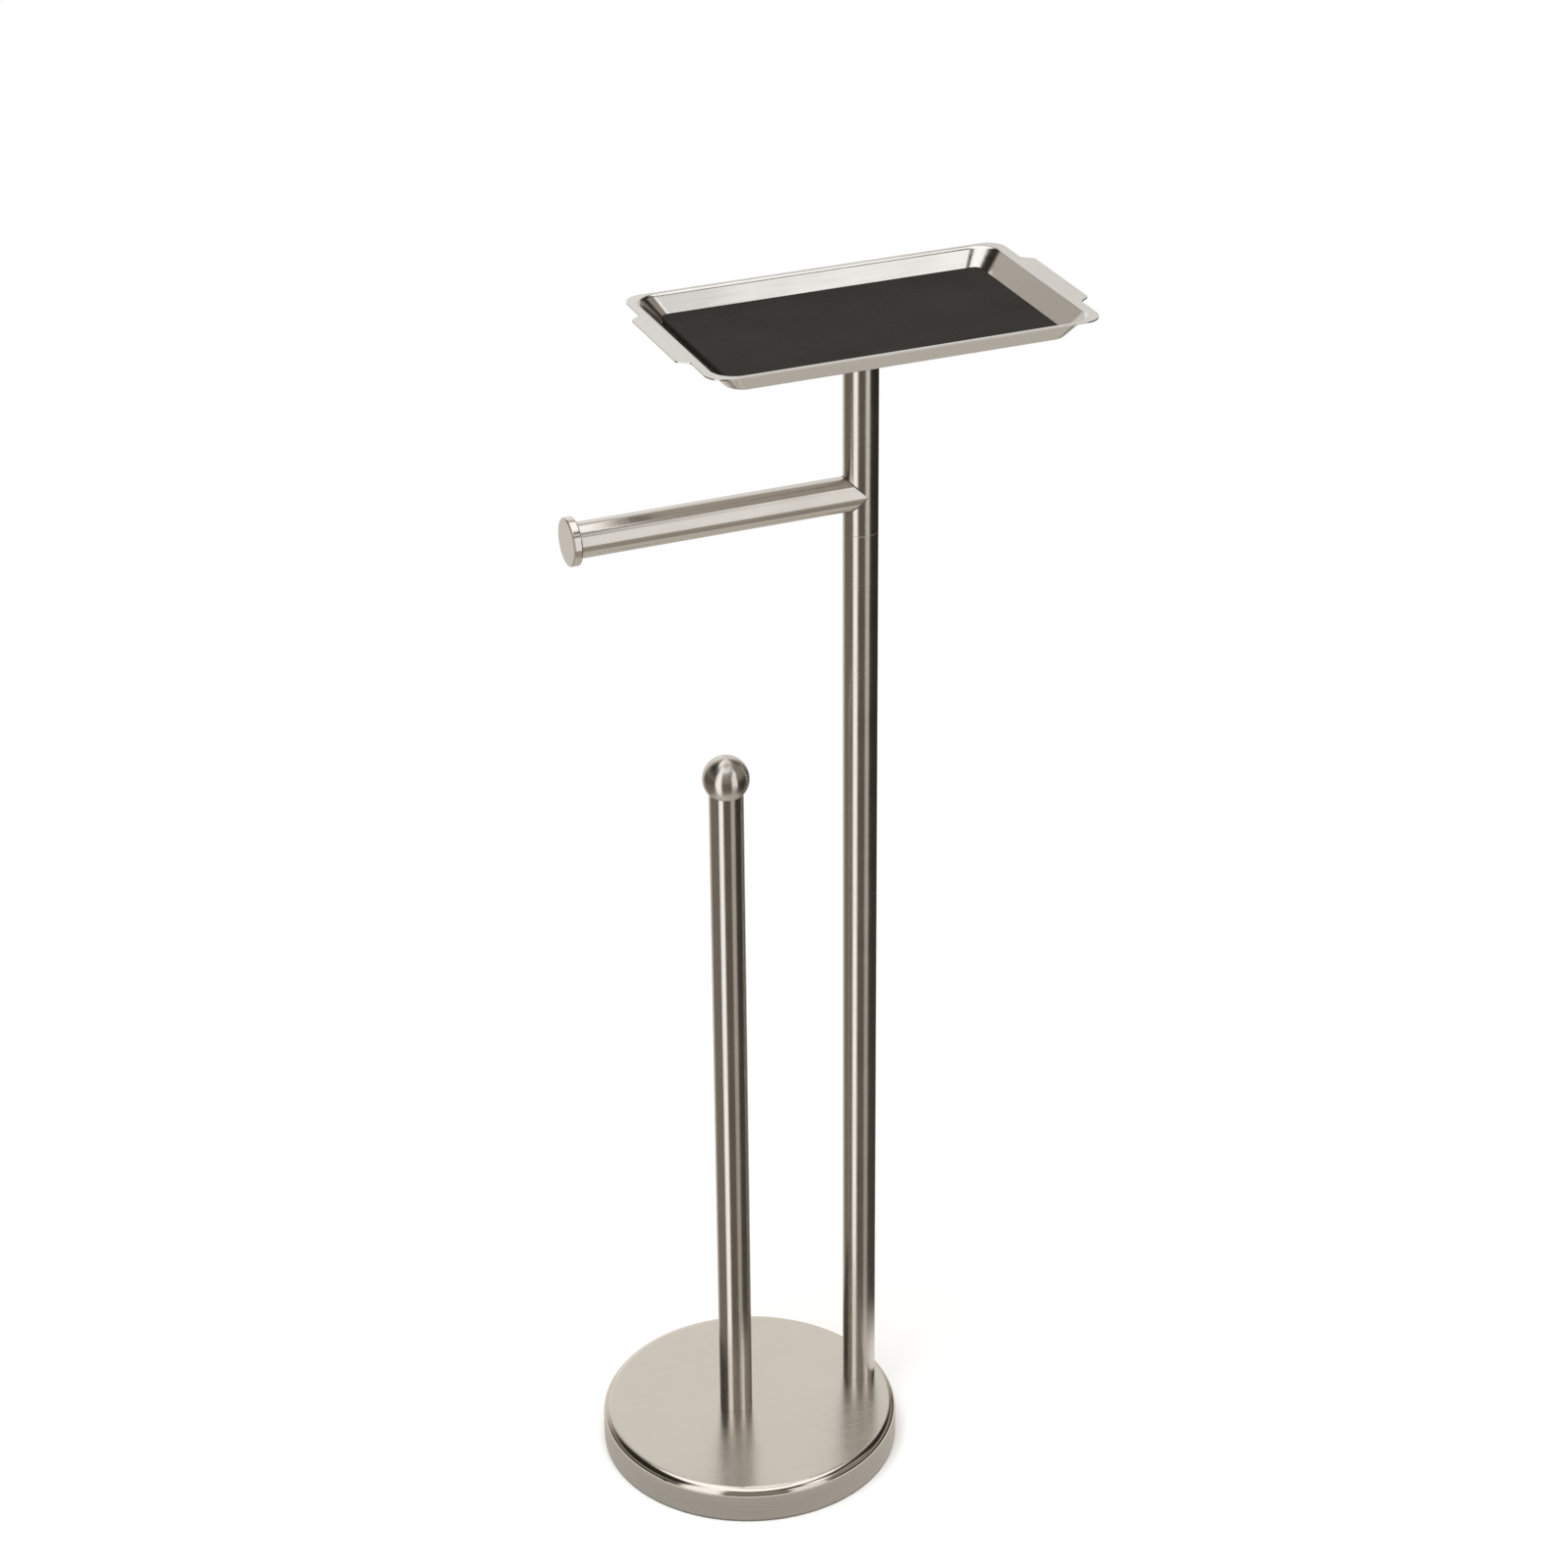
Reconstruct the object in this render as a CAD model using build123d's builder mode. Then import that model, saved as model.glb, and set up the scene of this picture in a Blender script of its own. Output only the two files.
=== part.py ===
"""Free-standing toilet paper stand: weighted base, post with a roll arm, storage spindle, shelf tray.

The origin is the middle of the base on the floor. +Z is up, and the post stands on the +X side.
All sizes are in millimetres.
"""

from build123d import *
from math import sqrt
import os

os.makedirs("parts", exist_ok=True)

# Base
base_radius = 90.0
base_height = 22.5
base_sheet = 0.8
base_rim_fillet = 5.0
shell_floor_gap = 1.0
pad_thickness = 3.0
pad_radius = 87.0
weight_radius = 88.5
weight_chamfer = 4.0
access_radius = 8.0
access_depth = 8.0

# Tubes: post, arm and spindle are the same stock
tube_radius = 10.0
tube_wall = 1.0
tube_bore = tube_radius - tube_wall
tube_end_chamfer = 0.2
post_x = 73.5
spindle_x = -9.0

# Heights above the floor
seam_z = 596.5
arm_z = 619.5
ball_z = 458.0
gasket_thickness = 1.0
tray_bottom_z = 714.5
tray_rim_z = 726.5
post_top_z = tray_bottom_z - gasket_thickness

# Arm
arm_length = 172.0
arm_cap_radius = 13.5
arm_cap_thickness = 5.0
arm_cap_fillet = 0.8
arm_spigot_length = 14.0
cope_gap = 0.02

# Ball on the spindle
ball_radius = 13.5

# Threaded pieces, drawn as plain rounds with a small gap
thread_gap = 0.05
insert_radius = tube_bore - thread_gap
insert_length = 25.0
bolt_radius = 3.0
bolt_length = 28.0
bolt_head_radius = 5.25
bolt_head_height = 3.3
bolt_socket_width = 4.0
bolt_socket_depth = 2.0
bolt_hole_radius = 3.3
washer_radius = 6.5
washer_thickness = 1.6
lock_washer_radius = 5.5
lock_washer_thickness = 1.5
lock_washer_slit = 1.2
stud_radius = 4.0
stud_half_length = 16.0
stud_chamfer = 0.6
finial_stud_radius = 3.0
finial_stud_below = 14.0
finial_stud_above = 15.0
finial_hole_spare = 1.0

# Tray, pressed from sheet
tray_sheet = 0.8
rim_length = 226.0
rim_width = 134.5
rim_corner = 11.0
mouth_length = 216.0
mouth_width = 129.5
mouth_corner = 14.0
floor_length = 195.5
floor_width = 114.0
floor_corner = 10.5
floor_bend = 2.0
rim_bend = 2.2
tab_reach = 6.5
tab_root = 75.5
tab_edge = 65.5
tab_tip_fillet = 3.0
tab_root_fillet = 1.5

# Tray screw and mat
screw_shank_length = 20.0
screw_head_radius = 7.0
screw_head_height = 2.0
screw_head_fillet = 1.5
screw_socket_width = 4.0
screw_socket_depth = 1.2
tray_swivel_gap = 0.08
mat_thickness = 3.0
mat_gap = 1.8
mat_corner = 5.0
mat_edge_fillet = 0.7
mat_pocket_radius = 9.0
mat_pocket_depth = 2.3

foot_positions = [(post_x, 0), (spindle_x, 0)]
shell_ceiling_z = base_height - base_sheet
counterbore_z = pad_thickness + access_depth
bolt_seat_z = counterbore_z - washer_thickness - lock_washer_thickness


def level(z, x=0.0):
    """The horizontal plane at height z, centred on x."""
    return Plane((x, 0, z))


def across(x):
    """The plane square to the roll arm at x, centred on the arm."""
    return Plane((x, 0, arm_z), x_dir=(0, 1, 0), z_dir=(1, 0, 0))


def ring(outer, inner, bottom, height, x):
    """A plain upright ring centred on x, standing on the given height."""
    with BuildPart() as made:
        with BuildSketch(level(bottom, x)):
            Circle(outer)
            Circle(inner, mode=Mode.SUBTRACT)
        extrude(amount=height)
    return made


# Base cover: a drawn cup with its open side down
with BuildPart() as base_shell:
    with BuildSketch(level(shell_floor_gap)):
        Circle(base_radius)
    extrude(amount=base_height - shell_floor_gap)
    fillet(base_shell.faces().sort_by(Axis.Z)[-1].edges(), base_rim_fillet)
    offset(amount=-base_sheet, openings=base_shell.faces().sort_by(Axis.Z)[0])
    with BuildSketch(level(base_height)):
        with Locations(*foot_positions):
            Circle(bolt_hole_radius)
    extrude(amount=-base_sheet, mode=Mode.SUBTRACT)
base_shell.part.label = "base_shell"
export_step(base_shell.part, "parts/base_shell.step")

# Ballast: fills the cover, with a wide recess below each bolt
with BuildPart() as base_weight:
    with BuildSketch(level(pad_thickness)):
        Circle(weight_radius)
    extrude(amount=shell_ceiling_z - pad_thickness)
    chamfer(base_weight.faces().sort_by(Axis.Z)[-1].edges(), weight_chamfer)
    with BuildSketch(level(pad_thickness)):
        with Locations(*foot_positions):
            Circle(access_radius)
    extrude(amount=access_depth, mode=Mode.SUBTRACT)
    with BuildSketch(level(pad_thickness)):
        with Locations(*foot_positions):
            Circle(bolt_hole_radius)
    extrude(amount=base_height, mode=Mode.SUBTRACT)
base_weight.part.label = "base_weight"
export_step(base_weight.part, "parts/base_weight.step")

# Anti-slip pad, glued under the ballast, open below each bolt
with BuildPart() as base_pad:
    with BuildSketch():
        Circle(pad_radius)
        with Locations(*foot_positions):
            Circle(access_radius, mode=Mode.SUBTRACT)
    extrude(amount=pad_thickness)
base_pad.part.label = "base_pad"
export_step(base_pad.part, "parts/base_pad.step")

# Button-head bolts with a hexagon socket, heads down
with BuildPart() as base_bolts:
    with BuildSketch(level(bolt_seat_z - bolt_head_height)):
        with Locations(*foot_positions):
            Circle(bolt_head_radius)
    extrude(amount=bolt_head_height)
    fillet(base_bolts.edges().group_by(Axis.Z)[0], bolt_head_height / 2)
    with BuildSketch(level(bolt_seat_z)):
        with Locations(*foot_positions):
            Circle(bolt_radius)
    extrude(amount=bolt_length)
    with BuildSketch(level(bolt_seat_z - bolt_head_height)):
        with Locations(*foot_positions):
            RegularPolygon(bolt_socket_width / 2, 6, major_radius=False)
    extrude(amount=bolt_socket_depth, mode=Mode.SUBTRACT)
base_bolts.part.label = "base_bolts"
export_step(base_bolts.part, "parts/base_bolts.step")

# Split lock washers on the bolt heads
with BuildPart() as base_lock_washers:
    with BuildSketch(level(bolt_seat_z)):
        with Locations(*foot_positions):
            Circle(lock_washer_radius)
            Circle(bolt_hole_radius, mode=Mode.SUBTRACT)
        with Locations(*[(x, lock_washer_radius) for x, _ in foot_positions]):
            Rectangle(lock_washer_slit, 2 * lock_washer_radius, mode=Mode.SUBTRACT)
    extrude(amount=lock_washer_thickness)
base_lock_washers.part.label = "base_lock_washers"
export_step(base_lock_washers.part, "parts/base_lock_washers.step")

# Plain washers against the ballast
with BuildPart() as base_washers:
    with BuildSketch(level(counterbore_z - washer_thickness)):
        with Locations(*foot_positions):
            Circle(washer_radius)
            Circle(bolt_hole_radius, mode=Mode.SUBTRACT)
    extrude(amount=washer_thickness)
base_washers.part.label = "base_washers"
export_step(base_washers.part, "parts/base_washers.step")

# Upright tubes
uprights = {
    "lower_post_tube": (post_x, base_height, seam_z),
    "upper_post_tube": (post_x, seam_z, post_top_z),
    "spindle_tube": (spindle_x, base_height, ball_z - sqrt(ball_radius**2 - tube_radius**2)),
}
for name, (x, bottom, top) in uprights.items():
    tube = ring(tube_radius, tube_bore, bottom, top - bottom, x)
    with tube:
        outer_rims = tube.edges().filter_by(GeomType.CIRCLE).group_by(SortBy.RADIUS)[-1]
        chamfer(outer_rims, tube_end_chamfer)
    tube.part.label = name
    export_step(tube.part, f"parts/{name}.step")
spindle_top_z = uprights["spindle_tube"][2]

# Threaded plugs, flush with the tube ends
inserts = {
    "lower_post_bottom_insert": (post_x, base_height, bolt_radius),
    "lower_post_top_insert": (post_x, seam_z - insert_length, stud_radius),
    "upper_post_bottom_insert": (post_x, seam_z, stud_radius),
    "upper_post_top_insert": (post_x, post_top_z - insert_length, bolt_radius),
    "spindle_bottom_insert": (spindle_x, base_height, bolt_radius),
    "spindle_top_insert": (spindle_x, spindle_top_z - insert_length, finial_stud_radius),
}
for name, (x, bottom, thread) in inserts.items():
    insert = ring(insert_radius, thread + thread_gap, bottom, insert_length, x)
    insert.part.label = name
    export_step(insert.part, f"parts/{name}.step")

# Stud across the post's seam
with BuildPart() as post_joining_stud:
    with BuildSketch(level(seam_z - stud_half_length, post_x)):
        Circle(stud_radius)
    extrude(amount=2 * stud_half_length)
    chamfer(post_joining_stud.edges(), stud_chamfer)
post_joining_stud.part.label = "post_joining_stud"
export_step(post_joining_stud.part, "parts/post_joining_stud.step")

# Roll arm: runs from the cap back to the post, its end coped round the post
arm_tip_x = post_x - arm_length
arm_tube_length = arm_length - arm_cap_thickness
with BuildPart() as arm_tube:
    with BuildSketch(across(arm_tip_x + arm_cap_thickness)):
        Circle(tube_radius)
        Circle(tube_bore, mode=Mode.SUBTRACT)
    extrude(amount=arm_tube_length)
    with BuildSketch(level(arm_z - 2 * tube_radius, post_x)):
        Circle(tube_radius + cope_gap)
    extrude(amount=4 * tube_radius, mode=Mode.SUBTRACT)
arm_tube.part.label = "arm_tube"
export_step(arm_tube.part, "parts/arm_tube.step")

# End cap with a spigot inside the arm
with BuildPart() as arm_end_cap:
    with BuildSketch(across(arm_tip_x)):
        Circle(arm_cap_radius)
    extrude(amount=arm_cap_thickness)
    fillet(arm_end_cap.edges().filter_by(GeomType.CIRCLE), arm_cap_fillet)
    with BuildSketch(across(arm_tip_x + arm_cap_thickness)):
        Circle(insert_radius)
    extrude(amount=arm_spigot_length)
    chamfer(arm_end_cap.edges().group_by(Axis.X)[-1], stud_chamfer)
arm_end_cap.part.label = "arm_end_cap"
export_step(arm_end_cap.part, "parts/arm_end_cap.step")

# Ball: flat where it sits on the spindle, with a blind threaded hole
with BuildPart() as ball_finial:
    with Locations((spindle_x, 0, ball_z)):
        Sphere(ball_radius)
    split(bisect_by=level(spindle_top_z), keep=Keep.TOP)
    with BuildSketch(level(spindle_top_z, spindle_x)):
        Circle(finial_stud_radius + thread_gap)
    extrude(amount=finial_stud_above + finial_hole_spare, mode=Mode.SUBTRACT)
ball_finial.part.label = "ball_finial"
export_step(ball_finial.part, "parts/ball_finial.step")

# Stud between ball and spindle
with BuildPart() as finial_stud:
    with BuildSketch(level(spindle_top_z - finial_stud_below, spindle_x)):
        Circle(finial_stud_radius)
    extrude(amount=finial_stud_below + finial_stud_above)
    chamfer(finial_stud.edges(), stud_chamfer)
finial_stud.part.label = "finial_stud"
export_step(finial_stud.part, "parts/finial_stud.step")

# Gasket ring between post and tray
tray_gasket = ring(tube_radius, bolt_hole_radius, post_top_z, gasket_thickness, post_x)
tray_gasket.part.label = "tray_gasket"
export_step(tray_gasket.part, "parts/tray_gasket.step")

# Tray: a flared pan with a flat rim, and a tab in the middle of each end
tray_floor_z = tray_bottom_z + tray_sheet
rim_bottom_z = tray_rim_z - tray_sheet
wall_height = rim_bottom_z - tray_bottom_z
wall_flare = (mouth_width - floor_width) / 2
wall_inset = tray_sheet * sqrt(wall_height**2 + wall_flare**2) / wall_height


def pan_section(z, inset):
    """Length, width and corner radius of the pan at one height, less an inset on every side."""
    rise = (z - tray_bottom_z) / wall_height
    length = floor_length + (mouth_length - floor_length) * rise - 2 * inset
    width = floor_width + (mouth_width - floor_width) * rise - 2 * inset
    corner = floor_corner + (mouth_corner - floor_corner) * rise - inset
    return length, width, corner


def pan(bottom, top, inset, bend):
    """The tapered body of the pan between two heights, its bottom edge rounded."""
    with BuildPart() as made:
        for z in (bottom, top):
            with BuildSketch(level(z, post_x)):
                RectangleRounded(*pan_section(z, inset))
        loft(ruled=True)
        fillet(made.faces().sort_by(Axis.Z)[0].edges(), bend)
    return made


pan_outside = pan(tray_bottom_z, rim_bottom_z, 0, floor_bend + tray_sheet)
pan_inside = pan(tray_floor_z, tray_rim_z, wall_inset, floor_bend)

tab_tip_x = rim_length / 2 + tab_reach
tab_back_x = rim_length / 2 - tab_reach
tab_tip_y = tab_edge / 2
tab_root_y = tab_root / 2
tab_back_y = 2 * tab_root_y - tab_tip_y
with BuildPart() as tray:
    add(pan_outside.part)
    with BuildSketch(level(rim_bottom_z, post_x)) as rim_outline:
        RectangleRounded(rim_length, rim_width, rim_corner)
        with BuildLine():
            Polyline(
                (0, tab_back_y),
                (tab_back_x, tab_back_y),
                (tab_tip_x, tab_tip_y),
                (tab_tip_x, 0),
            )
            mirror(about=Plane.XZ)
            mirror(about=Plane.YZ)
        make_face()
        tab_tips = rim_outline.vertices().filter_by(lambda v: abs(v.X) > tab_tip_x - 0.01)
        fillet(tab_tips, tab_tip_fillet)
        tab_roots = rim_outline.vertices().filter_by(
            lambda v: abs(abs(v.X) - rim_length / 2) < 0.01 and abs(v.Y) < tab_root_y + 0.01
        )
        fillet(tab_roots, tab_root_fillet)
    extrude(amount=tray_sheet)
    rim_underside = tray.faces().filter_by_position(Axis.Z, rim_bottom_z - 0.01, rim_bottom_z + 0.01)
    fillet(rim_underside.sort_by(SortBy.AREA)[-1].inner_wires().edges(), rim_bend)
    add(pan_inside.part, mode=Mode.SUBTRACT)
    fillet(tray.faces().sort_by(Axis.Z)[-1].inner_wires().edges(), rim_bend + tray_sheet)
    with BuildSketch(level(tray_bottom_z, post_x)):
        Circle(bolt_radius + tray_swivel_gap)
    extrude(amount=tray_sheet, mode=Mode.SUBTRACT)
tray.part.label = "tray"
export_step(tray.part, "parts/tray.step")

# Screw with a wide low head, down through the tray into the top plug
with BuildPart() as tray_screw:
    with BuildSketch(level(tray_floor_z - screw_shank_length, post_x)):
        Circle(bolt_radius)
    extrude(amount=screw_shank_length)
    chamfer(tray_screw.edges().group_by(Axis.Z)[0], stud_chamfer)
    with BuildSketch(level(tray_floor_z, post_x)):
        Circle(screw_head_radius)
    extrude(amount=screw_head_height)
    fillet(tray_screw.edges().group_by(Axis.Z)[-1], screw_head_fillet)
    with BuildSketch(level(tray_floor_z + screw_head_height, post_x)):
        RegularPolygon(screw_socket_width / 2, 6, major_radius=False)
    extrude(amount=-screw_socket_depth, mode=Mode.SUBTRACT)
tray_screw.part.label = "tray_screw"
export_step(tray_screw.part, "parts/tray_screw.step")

# Mat: lies in the pan, with a shallow pocket underneath for the screw head
mat_length, mat_width, _ = pan_section(tray_floor_z, wall_inset + mat_gap)
with BuildPart() as tray_mat:
    with BuildSketch(level(tray_floor_z, post_x)):
        RectangleRounded(mat_length, mat_width, mat_corner)
    extrude(amount=mat_thickness)
    for face in (tray_mat.faces().sort_by(Axis.Z)[0], tray_mat.faces().sort_by(Axis.Z)[-1]):
        fillet(face.edges(), mat_edge_fillet)
    with BuildSketch(level(tray_floor_z, post_x)):
        Circle(mat_pocket_radius)
    extrude(amount=mat_pocket_depth, mode=Mode.SUBTRACT)
tray_mat.part.label = "tray_mat"
export_step(tray_mat.part, "parts/tray_mat.step")
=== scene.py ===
"""Looks and studio for the paper roll stand.

Brushed steel, rubber and hidden hardware finishes, the arm's weld with its painted seam shade, and a pale
floor under soft light.
"""

import math

import bpy
from mathutils import Matrix, Vector


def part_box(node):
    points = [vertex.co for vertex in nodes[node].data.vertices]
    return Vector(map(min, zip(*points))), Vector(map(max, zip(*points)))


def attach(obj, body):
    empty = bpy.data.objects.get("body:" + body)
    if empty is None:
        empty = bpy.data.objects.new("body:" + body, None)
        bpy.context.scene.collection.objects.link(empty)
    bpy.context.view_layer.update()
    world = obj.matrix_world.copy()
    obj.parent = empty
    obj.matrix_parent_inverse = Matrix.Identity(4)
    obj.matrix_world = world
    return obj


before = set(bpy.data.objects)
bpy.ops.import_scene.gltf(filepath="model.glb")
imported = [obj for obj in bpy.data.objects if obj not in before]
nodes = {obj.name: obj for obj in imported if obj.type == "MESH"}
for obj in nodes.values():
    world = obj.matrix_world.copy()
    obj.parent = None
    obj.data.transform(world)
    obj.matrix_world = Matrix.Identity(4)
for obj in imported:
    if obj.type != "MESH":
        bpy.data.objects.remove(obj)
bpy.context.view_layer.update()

# Camera, in metres and degrees. The heading turns clockwise from +Y, and the pitch is below the horizon.
CAMERA_PLACE = (-0.6904, -1.7457, 1.4447)
CAMERA_HEADING = 22.323
CAMERA_PITCH = 27.861
CAMERA_ROLL = -0.471
CAMERA_LENS_MM = 86.32
CAMERA_SENSOR_MM = 36.0
CAMERA_CLIP_START = 0.05
CAMERA_CLIP_END = 60.0

# Floor, in metres, just under the pad. Between the two distances of FLOOR_FADE it turns to plain white.
FLOOR_RADIUS = 12.0
FLOOR_Z = -0.0004
FLOOR_FADE = (0.35, 1.3)
DISC_STEPS = 96

# The lit patch that steel close to the floor mirrors, in metres. It brightens from front to back and
# again outwards, each between two places and two levels, and is lost beyond GLOW_REACH.
# Its dimmer front and its dimmer ring round the base are painted shade on the mirrored floor.
GLOW_RADIUS = 0.75
GLOW_Z = -0.0008
GLOW_DEPTHS, GLOW_DEPTH_LEVELS = (-0.11, 0.05), (0.56, 0.82)
GLOW_RINGS, GLOW_RING_LEVELS = (0.10, 0.15), (0.70, 1.30)
GLOW_REACH = (0.06, 0.14)

# Ceiling light, in metres and watts.
CEILING_PLACE = (-0.4, -0.6, 3.2)
CEILING_AIM = (0.0, 0.0, 0.2)
CEILING_SIZE = 3.0
CEILING_POWER = 95.0

# Weld bead: its thickness in metres, and its small ripples along the seam.
WELD_BEAD_M = 0.0009
WELD_RIPPLE = 0.12
WELD_RIPPLES = 23.0
WELD_STEPS = 144
WELD_SIDES = 10

# Linear colours.
STEEL = (0.79, 0.757, 0.712)
STEEL_DARK = (0.745, 0.712, 0.667)
SHELL_STEEL = (0.79, 0.750, 0.685)
SHELL_STEEL_DARK = (0.745, 0.706, 0.642)
TRAY_STEEL = (0.785, 0.768, 0.745)
TRAY_STEEL_DARK = (0.75, 0.733, 0.71)
# The weld's colours are dark to paint the shade in the seam where the arm meets the post.
WELD_AND_SEAM_SHADE = (0.36, 0.32, 0.27)
WELD_AND_SEAM_SHADE_DARK = (0.20, 0.17, 0.14)
ZINC = (0.62, 0.63, 0.65)
TURNED = (0.50, 0.48, 0.46)
TURNED_DARK = (0.40, 0.38, 0.36)
IRON = (0.055, 0.053, 0.052)
IRON_WORN = (0.09, 0.085, 0.08)
RUBBER = (0.0145, 0.0128, 0.0108)
RUBBER_WORN = (0.018, 0.016, 0.0135)
FOAM = (0.022, 0.022, 0.023)
FOAM_WORN = (0.035, 0.035, 0.036)
NYLON = (0.72, 0.70, 0.65)
NYLON_WORN = (0.78, 0.76, 0.72)
FLOOR_WHITE = (0.92, 0.915, 0.905)
FLOOR_LIGHT = (1.0, 0.95, 0.90)
DIM_LIGHT = (1.0, 0.87, 0.72)
BRIGHT_LIGHT = (1.0, 0.995, 0.985)

# Smudges and patches per metre.
TUBE_SMUDGES = 28.0
SHEET_SMUDGES = 26.0
RUBBER_PATCHES = 35.0

# How far roughness strays either way.
SMUDGE_CHANGE = 0.03
TUBE_MARK_CHANGE = 0.015
SHEET_MARK_CHANGE = 0.03
PEBBLE_CHANGE = 0.08

# Depth of the finest brushing, in metres.
FINE_RELIEF = 2e-7

# Brush marks per metre, along the brushing and across it.
TUBE_MARKS = (90.0, 2200.0)
CAP_MARKS = (60.0, 1500.0)
BALL_MARKS = (140.0, 2000.0)
INSERT_MARKS = (60.0, 2200.0)
SHEET_MARKS = (25.0, 2400.0)
SKIRT_MARKS = (30.0, 1400.0)

# The size of a normal's Z, from where sheet starts to count as upright or flat to where it fully does.
UPRIGHT_TILT = (0.12, 0.02)
FLAT_TILT = (0.93, 0.995)

# The part of a noise's range that nearly all of its values lie in.
NOISE_LOW, NOISE_HIGH = 0.3, 0.7

# A mix node has sockets for every data type, so those of one type are reached by number.
MIX_FLOATS, MIX_FLOAT_RESULT = (2, 3), 0
MIX_COLOURS, MIX_COLOUR_RESULT = (6, 7), 2


# ---------------------------------------------------------------- node helpers


class Tree:
    """A node tree, with short ways to add nodes and join them."""

    def __init__(self, tree):
        self.tree = tree

    def node(self, kind, **settings):
        made = self.tree.nodes.new(kind)
        for key, value in settings.items():
            setattr(made, key, value)
        return made

    def link(self, output, target):
        self.tree.links.new(output, target)

    def maths(self, operation, *terms):
        """One operation on outputs and plain numbers."""
        made = self.node("ShaderNodeMath", operation=operation)
        for term, target in zip(terms, made.inputs):
            if isinstance(term, (int, float)):
                target.default_value = term
            else:
                self.link(term, target)
        return made.outputs["Value"]

    def remap(self, value, start, end, low, high, shape="LINEAR"):
        """A value that goes from low to high while the given one goes from start to end."""
        made = self.node("ShaderNodeMapRange", interpolation_type=shape)
        made.inputs["From Min"].default_value = start
        made.inputs["From Max"].default_value = end
        made.inputs["To Min"].default_value = low
        made.inputs["To Max"].default_value = high
        self.link(value, made.inputs["Value"])
        return made.outputs["Result"]

    def blend(self, factor, low, high):
        """A colour between two fixed ones."""
        made = self.node("ShaderNodeMix", data_type="RGBA")
        for number, colour in zip(MIX_COLOURS, (low, high)):
            made.inputs[number].default_value = (*colour, 1.0)
        self.link(factor, made.inputs["Factor"])
        return made.outputs[MIX_COLOUR_RESULT]

    def choose(self, factor, low, high):
        """A value between two outputs."""
        made = self.node("ShaderNodeMix", data_type="FLOAT")
        for number, value in zip(MIX_FLOATS, (low, high)):
            self.link(value, made.inputs[number])
        self.link(factor, made.inputs["Factor"])
        return made.outputs[MIX_FLOAT_RESULT]

    def mix_shaders(self, factor, first, second):
        made = self.node("ShaderNodeMixShader")
        self.link(factor, made.inputs["Fac"])
        self.link(first, made.inputs[1])
        self.link(second, made.inputs[2])
        return made.outputs["Shader"]

    def distance_fade(self, start, end, low, high):
        """A value that goes from low to high between two distances from the origin."""
        where = self.node("ShaderNodeTexCoord")
        length = self.node("ShaderNodeVectorMath", operation="LENGTH")
        self.link(where.outputs["Object"], length.inputs[0])
        return self.remap(length.outputs["Value"], start, end, low, high, "SMOOTHERSTEP")


class Surface(Tree):
    """A material with one Principled shader, and short ways to feed its sockets."""

    def __init__(self, name, metallic, roughness):
        self.material = bpy.data.materials.new(name)
        self.material.use_nodes = True
        super().__init__(self.material.node_tree)
        self.shader = self.tree.nodes["Principled BSDF"]
        self.set("Metallic", metallic)
        self.set("Roughness", roughness)

    def set(self, socket, value):
        self.shader.inputs[socket].default_value = value

    def feed(self, socket, output):
        self.link(output, self.shader.inputs[socket])

    def noise(self, cells_per_metre, detail=2.0, soften=0.5):
        """Noise in object space, with its own number of cells per metre along each axis."""
        where = self.node("ShaderNodeTexCoord")
        scale = self.node("ShaderNodeVectorMath", operation="MULTIPLY")
        scale.inputs[1].default_value = cells_per_metre
        self.link(where.outputs["Object"], scale.inputs[0])
        made = self.node("ShaderNodeTexNoise")
        made.inputs["Scale"].default_value = 1.0
        made.inputs["Detail"].default_value = detail
        made.inputs["Roughness"].default_value = soften
        self.link(scale.outputs["Vector"], made.inputs["Vector"])
        return made.outputs["Fac"]

    def spread(self, noise, low, high):
        """A noise stretched to go from low to high."""
        return self.remap(noise, NOISE_LOW, NOISE_HIGH, low, high)

    def bump(self, height, metres):
        made = self.node("ShaderNodeBump")
        made.inputs["Distance"].default_value = metres
        self.link(height, made.inputs["Height"])
        return made.outputs["Normal"]


def even(cells):
    """The same number of cells along every axis."""
    return (cells, cells, cells)


def brushed_steel(name, cells, roughness, relief, aniso=0.0, axis=None, colour=STEEL, dark=STEEL_DARK):
    """Satin steel. cells says how many brush marks lie in a metre along each axis."""
    s = Surface(name, 1.0, roughness)
    marks = s.noise(cells)
    smudges = s.noise(even(TUBE_SMUDGES), detail=3.0)
    s.feed("Base Color", s.blend(s.spread(marks, 0.0, 1.0), dark, colour))
    fine = s.spread(marks, -TUBE_MARK_CHANGE, TUBE_MARK_CHANGE)
    broad = s.spread(smudges, roughness - SMUDGE_CHANGE, roughness + SMUDGE_CHANGE)
    s.feed("Roughness", s.maths("ADD", fine, broad))
    s.feed("Normal", s.bump(marks, relief))
    if axis:
        s.set("Anisotropic", aniso)
        s.set("Anisotropic Rotation", 0.25)
        tangent = s.node("ShaderNodeTangent", direction_type="RADIAL", axis=axis)
        s.feed("Tangent", tangent.outputs["Tangent"])
    return s.material


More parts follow.
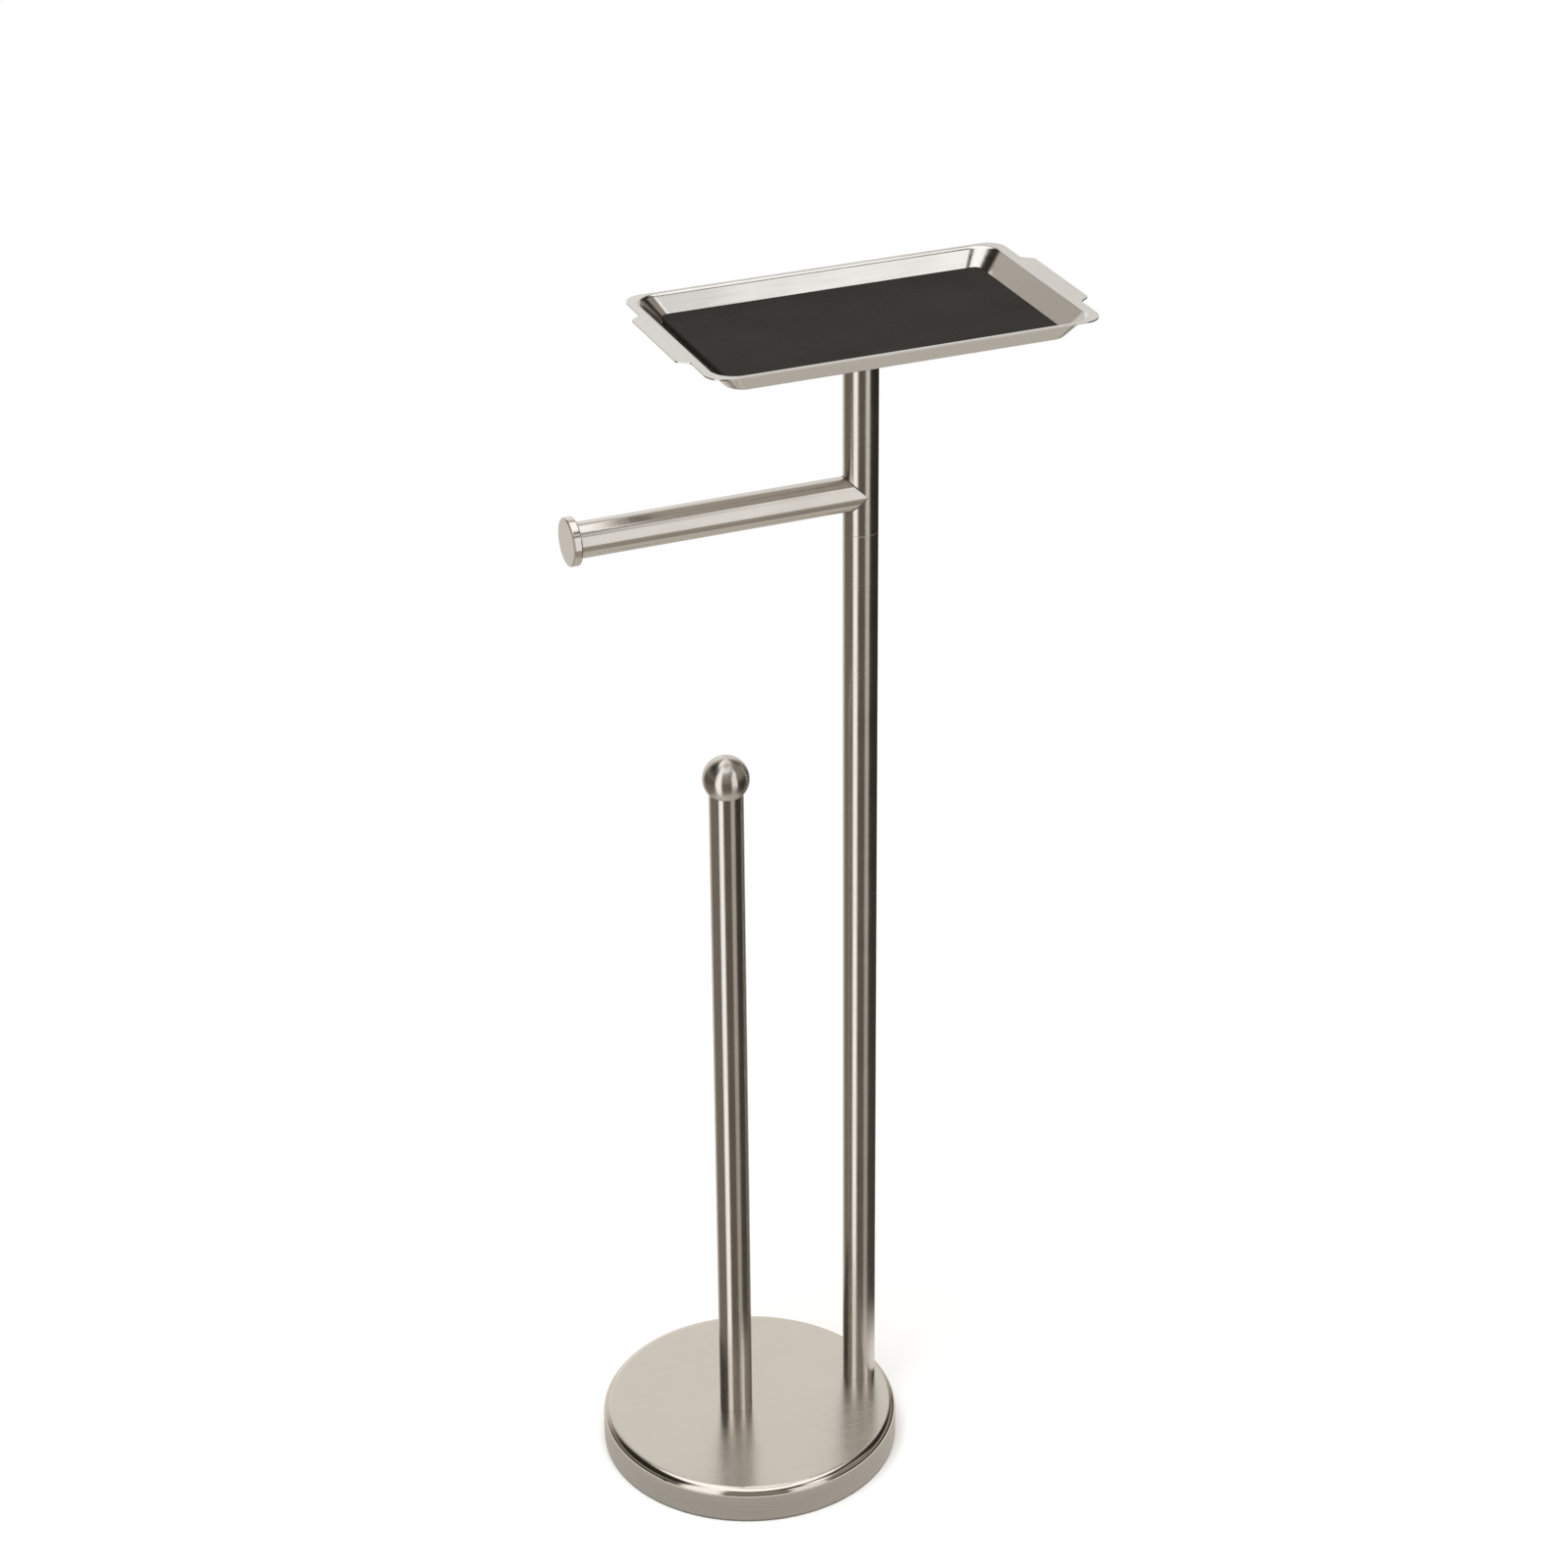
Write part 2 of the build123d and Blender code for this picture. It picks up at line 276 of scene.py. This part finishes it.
def pressed_steel(name, roughness, polished, colour, dark):
    """Satin sheet: brushed along X where it is flat, around where it is upright, smoother on its bends."""
    s = Surface(name, 1.0, roughness)
    facing = s.node("ShaderNodeTexCoord")
    split = s.node("ShaderNodeSeparateXYZ")
    s.link(facing.outputs["Normal"], split.inputs["Vector"])
    tilt = s.maths("ABSOLUTE", split.outputs["Z"])
    flat = s.remap(tilt, *FLAT_TILT, 0.0, 1.0)
    upright = s.remap(tilt, *UPRIGHT_TILT, 0.0, 1.0)
    bend = s.remap(s.maths("ADD", flat, upright), 0.0, 1.0, polished - roughness, 0.0)
    along, across = SKIRT_MARKS
    around_marks = s.noise((along, along, across))
    along, across = SHEET_MARKS
    flat_marks = s.noise((along, across, along))
    marks = s.choose(flat, around_marks, flat_marks)
    smudges = s.noise(even(SHEET_SMUDGES), detail=3.0)
    s.feed("Base Color", s.blend(s.spread(marks, 0.0, 1.0), dark, colour))
    fine = s.spread(marks, -SHEET_MARK_CHANGE, SHEET_MARK_CHANGE)
    broad = s.spread(smudges, roughness - SMUDGE_CHANGE, roughness + SMUDGE_CHANGE)
    s.feed("Roughness", s.maths("ADD", bend, s.maths("ADD", fine, broad)))
    s.feed("Normal", s.bump(marks, FINE_RELIEF))
    return s.material


def rubber(name, colour, worn, grain, relief, roughness, shine=0.5):
    """Matt stuff with a pebbled skin: rubber, and also raw casting and plain nylon."""
    s = Surface(name, 0.0, roughness)
    pebbles = s.noise(even(grain), detail=3.0, soften=0.6)
    patches = s.noise(even(RUBBER_PATCHES))
    s.feed("Base Color", s.blend(s.spread(patches, 0.0, 1.0), colour, worn))
    s.feed("Roughness", s.spread(pebbles, roughness - PEBBLE_CHANGE, roughness + PEBBLE_CHANGE))
    s.feed("Normal", s.bump(pebbles, relief))
    s.set("Specular IOR Level", shine)
    return s.material


# ---------------------------------------------------------------- finishes


def tube_finish(name, roughness, axis):
    """Fine brushed tube: the marks run around it, and its highlights stretch along the axis."""
    along, across = TUBE_MARKS
    cells = [across if letter == axis else along for letter in "XYZ"]
    return brushed_steel(name, cells, roughness, FINE_RELIEF, aniso=0.5, axis=axis)


def cap_finish():
    along, across = CAP_MARKS
    return brushed_steel("cap_brushed_steel", (along, across, along), roughness=0.14, relief=1e-6)


def ball_finish():
    along, across = BALL_MARKS
    cells = (along, along, across)
    return brushed_steel("ball_turned_steel", cells, 0.28, FINE_RELIEF, aniso=0.85, axis="Z")


def insert_finish():
    along, across = INSERT_MARKS
    cells = (along, along, across)
    return brushed_steel("turned_insert_steel", cells, 0.33, 1.2e-5, colour=TURNED, dark=TURNED_DARK)


# A weld bead coloured dark: painted shade for the seam round the arm's end.
def weld_and_seam_shade_finish():
    return brushed_steel("weld_with_painted_seam_shade", even(900.0), 0.42, 8e-6, colour=WELD_AND_SEAM_SHADE, dark=WELD_AND_SEAM_SHADE_DARK)


def zinc_finish():
    return brushed_steel("zinc_plate", even(700.0), 0.36, 6e-6, colour=ZINC, dark=TURNED)


def shell_finish():
    colours = {"colour": SHELL_STEEL, "dark": SHELL_STEEL_DARK}
    return pressed_steel("shell_satin_steel", roughness=0.23, polished=0.13, **colours)


def tray_finish():
    colours = {"colour": TRAY_STEEL, "dark": TRAY_STEEL_DARK}
    return pressed_steel("tray_satin_steel", roughness=0.24, polished=0.18, **colours)


def ballast_finish():
    return rubber("cast_ballast_iron", IRON, IRON_WORN, grain=900.0, relief=1.5e-4, roughness=0.62)


def pad_finish():
    return rubber("foamed_pad_rubber", FOAM, FOAM_WORN, grain=1600.0, relief=1e-4, roughness=0.85)


def mat_finish():
    skin = {"grain": 1500.0, "relief": 3e-5, "roughness": 0.68, "shine": 0.12}
    return rubber("mat_black_rubber", RUBBER, RUBBER_WORN, **skin)


def gasket_finish():
    return rubber("gasket_white_nylon", NYLON, NYLON_WORN, grain=800.0, relief=1e-5, roughness=0.42)


FINISH_OF_SLOT = {
    "shell_steel": shell_finish(),
    "tube_steel": tube_finish("upright_tube_steel", 0.24, "Z"),
    "cap_steel": cap_finish(),
    "ball_steel": ball_finish(),
    "tray_steel": tray_finish(),
    "ballast_iron": ballast_finish(),
    "pad_rubber": pad_finish(),
    "mat_rubber": mat_finish(),
    "gasket_nylon": gasket_finish(),
    "fastener_zinc": zinc_finish(),
    "insert_steel": insert_finish(),
}

for node in nodes.values():
    for slot in node.material_slots:
        slot.material = FINISH_OF_SLOT[slot.material.name]
nodes["arm_tube"].material_slots[0].material = tube_finish("arm_tube_steel", 0.20, "X")


# ---------------------------------------------------------------- weld, with painted seam shade


def arm_weld_and_seam_shade():
    """The thin dressed weld where the arm's coped end meets the post, on the curve that both tubes share. Its
    dark colour is painted shade for the seam.
    """
    post_low, post_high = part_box("upper_post_tube")
    arm_low, arm_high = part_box("arm_tube")
    radius = (post_high[0] - post_low[0]) / 2.0
    post_x = (post_high[0] + post_low[0]) / 2.0
    arm_z = (arm_high[2] + arm_low[2]) / 2.0
    points, faces = [], []
    for step in range(WELD_STEPS):
        angle = 2.0 * math.pi * step / WELD_STEPS
        rise = math.sin(angle)
        middle = Vector((post_x - radius * abs(rise), radius * math.cos(angle), arm_z + radius * rise))
        ahead = Vector((-math.copysign(math.cos(angle), rise), -rise, math.cos(angle))).normalized()
        outward = Vector((-abs(rise), math.cos(angle), rise)).normalized()
        aside = ahead.cross(outward).normalized()
        swell = WELD_BEAD_M / 2.0 * (1.0 + WELD_RIPPLE * math.sin(WELD_RIPPLES * angle))
        first = step * WELD_SIDES
        after = (step + 1) % WELD_STEPS * WELD_SIDES
        for side in range(WELD_SIDES):
            turn = 2.0 * math.pi * side / WELD_SIDES
            points.append(middle + swell * (math.cos(turn) * outward + math.sin(turn) * aside))
            beside = (side + 1) % WELD_SIDES
            faces.append((first + side, first + beside, after + beside, after + side))
    mesh = bpy.data.meshes.new("arm_weld_and_seam_shade")
    mesh.from_pydata(points, [], faces)
    for face in mesh.polygons:
        face.use_smooth = True
    mesh.materials.append(weld_and_seam_shade_finish())
    made = bpy.data.objects.new("arm_weld_and_seam_shade", mesh)
    bpy.context.scene.collection.objects.link(made)
    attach(made, "stand")


arm_weld_and_seam_shade()


# ---------------------------------------------------------------- studio


def studio_world():
    """Light by direction: soft boxes on both sides of the camera, a white backdrop behind the object,
    dim walls all round and a ceiling panel, in a dark room. The camera itself sees plain white."""
    world = bpy.data.worlds.new("studio")
    world.use_nodes = True
    world.node_tree.nodes.clear()
    t = Tree(world.node_tree)

    def fade(value, start, end, low=0.0, high=1.0):
        return t.remap(value, start, end, low, high, "SMOOTHSTEP")

    # The direction as seen from the camera's heading: azimuth 0 is towards the camera, and + is to its right.
    where = t.node("ShaderNodeTexCoord")
    turn = t.node("ShaderNodeVectorRotate", rotation_type="Z_AXIS")
    turn.inputs["Angle"].default_value = math.radians(CAMERA_HEADING)
    t.link(where.outputs["Generated"], turn.inputs["Vector"])
    split = t.node("ShaderNodeSeparateXYZ")
    t.link(turn.outputs["Vector"], split.inputs["Vector"])
    across, ahead, up = split.outputs
    azimuth = t.maths("DEGREES", t.maths("ARCTAN2", across, t.maths("MULTIPLY", ahead, -1.0)))
    elevation = t.maths("DEGREES", t.maths("ARCSINE", up))

    def card(centre, half_width, soft, low, high, strength):
        """A lit patch, in degrees: its middle's azimuth, half its width, the half width of its soft edges,
        and the lowest and highest elevation that it reaches."""
        apart = t.maths("PINGPONG", t.maths("ADD", azimuth, 720.0 - centre), 180.0)
        wide = fade(apart, half_width + soft, half_width - soft)
        above = fade(elevation, low - soft, low + soft)
        below = fade(elevation, high + soft, high - soft)
        return t.maths("MULTIPLY", t.maths("MULTIPLY", wide, strength), t.maths("MULTIPLY", above, below))

    def ceiling_panel(half_across, half_ahead, strength):
        """An oval panel over the object, its reach given as sines of the angle from straight up."""
        sideways = t.maths("POWER", t.maths("DIVIDE", across, half_across), 2.0)
        lengthways = t.maths("POWER", t.maths("DIVIDE", ahead, half_ahead), 2.0)
        reach = t.maths("SQRT", t.maths("ADD", sideways, lengthways))
        inside = fade(reach, 1.10, 0.90, 0.0, strength)
        overhead = fade(up, 0.2, 0.4)
        return t.maths("MULTIPLY", inside, overhead)

    lights = [
        card(-35.0, 15.0, 4.0, -55.0, 60.0, 1.2),  # left soft box
        card(43.0, 14.0, 3.0, -24.0, 36.0, 0.95),  # right soft box
        card(57.5, 10.0, 3.0, 30.0, 51.0, 1.3),  # upper right soft box
        card(86.0, 22.0, 7.0, 27.0, 47.0, 0.36),  # its light on the wall
        card(43.0, 14.0, 5.0, -55.0, 0.0, 0.36),  # floor in front of the right soft box
        card(4.0, 24.0, 8.0, -55.0, 20.0, 0.11),  # dim middle, between the soft boxes
        card(4.0, 24.0, 8.0, 2.0, 40.0, 0.28),  # wall behind the camera
        card(-168.0, 42.0, 14.0, -55.0, 30.0, 0.70),  # backdrop
        card(-172.0, 30.0, 7.0, 10.0, 46.0, 0.82),  # upper backdrop
        card(-168.0, 13.0, 5.0, 3.0, 28.0, 1.0),  # brightest part of the backdrop
        card(-90.0, 36.0, 16.0, -55.0, -12.0, 0.20),  # floor on the left
        card(-100.0, 45.0, 8.0, 6.0, 20.0, 0.34),  # left wall
        card(100.0, 45.0, 8.0, 6.0, 24.0, 0.34),  # right wall
        fade(elevation, -46.0, -58.0, 0.0, 0.55),  # floor straight below
        ceiling_panel(0.46, 0.62, 1.3),
    ]
    # The room's own light, a little stronger from below. Each direction shows its strongest light.
    total = fade(elevation, -38.0, -26.0, 0.085, 0.025)
    for light in lights:
        total = t.maths("MAXIMUM", total, light)
    # Dim light is warmer.
    tint = t.blend(fade(total, 0.05, 1.1), DIM_LIGHT, BRIGHT_LIGHT)
    seen = t.node("ShaderNodeBackground")
    t.link(tint, seen.inputs["Color"])
    t.link(total, seen.inputs["Strength"])
    backdrop = t.node("ShaderNodeBackground")
    backdrop.inputs["Color"].default_value = (1.0, 1.0, 1.0, 1.0)
    path = t.node("ShaderNodeLightPath")
    shown = t.mix_shaders(
        path.outputs["Is Camera Ray"], seen.outputs["Background"], backdrop.outputs["Background"]
    )
    t.link(shown, t.node("ShaderNodeOutputWorld").inputs["Surface"])
    bpy.context.scene.world = world


def disc(name, radius, height, material):
    """A flat round sheet about the origin."""
    points = [(0.0, 0.0, height)]
    faces = []
    for step in range(DISC_STEPS):
        angle = 2.0 * math.pi * step / DISC_STEPS
        points.append((radius * math.cos(angle), radius * math.sin(angle), height))
        faces.append((0, 1 + step, 1 + (step + 1) % DISC_STEPS))
    mesh = bpy.data.meshes.new(name)
    mesh.from_pydata(points, [], faces)
    mesh.materials.append(material)
    made = bpy.data.objects.new(name, mesh)
    bpy.context.scene.collection.objects.link(made)
    return made


def floor():
    """A pale floor, open from below, that the steel doesn't mirror. It fades to white outwards."""
    s = Surface("pale_floor", 0.0, 1.0)
    s.set("Base Color", (*FLOOR_WHITE, 1.0))
    s.set("Specular IOR Level", 0.0)
    white = s.node("ShaderNodeEmission")
    outwards = s.distance_fade(*FLOOR_FADE, 0.0, 1.0)
    above = s.mix_shaders(outwards, s.shader.outputs["BSDF"], white.outputs["Emission"])
    side = s.node("ShaderNodeNewGeometry")
    clear = s.node("ShaderNodeBsdfTransparent")
    shown = s.mix_shaders(side.outputs["Backfacing"], above, clear.outputs["BSDF"])
    s.link(shown, s.tree.nodes["Material Output"].inputs["Surface"])
    made = disc("floor", FLOOR_RADIUS, FLOOR_Z, s.material)
    made.visible_glossy = False


def floor_glow():
    """The lit patch of floor that only steel close to it mirrors, with painted shade near the base and at the
    front.
    """
    material = bpy.data.materials.new("floor_glow")
    material.use_nodes = True
    material.node_tree.nodes.clear()
    t = Tree(material.node_tree)
    heading = math.radians(CAMERA_HEADING)
    where = t.node("ShaderNodeTexCoord")
    ahead = t.node("ShaderNodeVectorMath", operation="DOT_PRODUCT")
    ahead.inputs[1].default_value = (math.sin(heading), math.cos(heading), 0.0)
    t.link(where.outputs["Object"], ahead.inputs[0])
    backwards = t.remap(ahead.outputs["Value"], *GLOW_DEPTHS, *GLOW_DEPTH_LEVELS)
    outwards = t.distance_fade(*GLOW_RINGS, *GLOW_RING_LEVELS)
    glow = t.node("ShaderNodeEmission")
    glow.inputs["Color"].default_value = (*FLOOR_LIGHT, 1.0)
    t.link(t.maths("MULTIPLY", backwards, outwards), glow.inputs["Strength"])
    path = t.node("ShaderNodeLightPath")
    near = t.remap(path.outputs["Ray Length"], *GLOW_REACH, 1.0, 0.0)
    clear = t.node("ShaderNodeBsdfTransparent")
    shown = t.mix_shaders(near, clear.outputs["BSDF"], glow.outputs["Emission"])
    t.link(shown, t.node("ShaderNodeOutputMaterial").inputs["Surface"])
    made = disc("floor_glow", GLOW_RADIUS, GLOW_Z, material)
    made.visible_camera = False
    made.visible_diffuse = False
    made.visible_shadow = False
    made.visible_transmission = False


def ceiling_light():
    """A large soft light for the floor and the rubber. The steel doesn't mirror it."""
    light = bpy.data.lights.new("ceiling", "AREA")
    light.shape = "DISK"
    light.size = CEILING_SIZE
    light.energy = CEILING_POWER
    made = bpy.data.objects.new("ceiling", light)
    made.location = CEILING_PLACE
    aim = Vector(CEILING_AIM) - Vector(CEILING_PLACE)
    made.rotation_euler = aim.to_track_quat("-Z", "Y").to_euler()
    made.visible_glossy = False
    bpy.context.scene.collection.objects.link(made)


def camera():
    data = bpy.data.cameras.new("camera")
    data.sensor_width = CAMERA_SENSOR_MM
    data.lens = CAMERA_LENS_MM
    data.clip_start = CAMERA_CLIP_START
    data.clip_end = CAMERA_CLIP_END
    made = bpy.data.objects.new("camera", data)
    turn = Matrix.Rotation(math.radians(-CAMERA_HEADING), 4, "Z")
    tilt = Matrix.Rotation(math.radians(90.0 - CAMERA_PITCH), 4, "X")
    roll = Matrix.Rotation(math.radians(CAMERA_ROLL), 4, "Z")
    made.matrix_world = Matrix.Translation(CAMERA_PLACE) @ turn @ tilt @ roll
    bpy.context.scene.collection.objects.link(made)
    bpy.context.scene.camera = made


studio_world()
floor()
floor_glow()
ceiling_light()
camera()
view = bpy.context.scene.view_settings
view.view_transform = "Standard"
view.look = "None"
view.exposure = 0.0
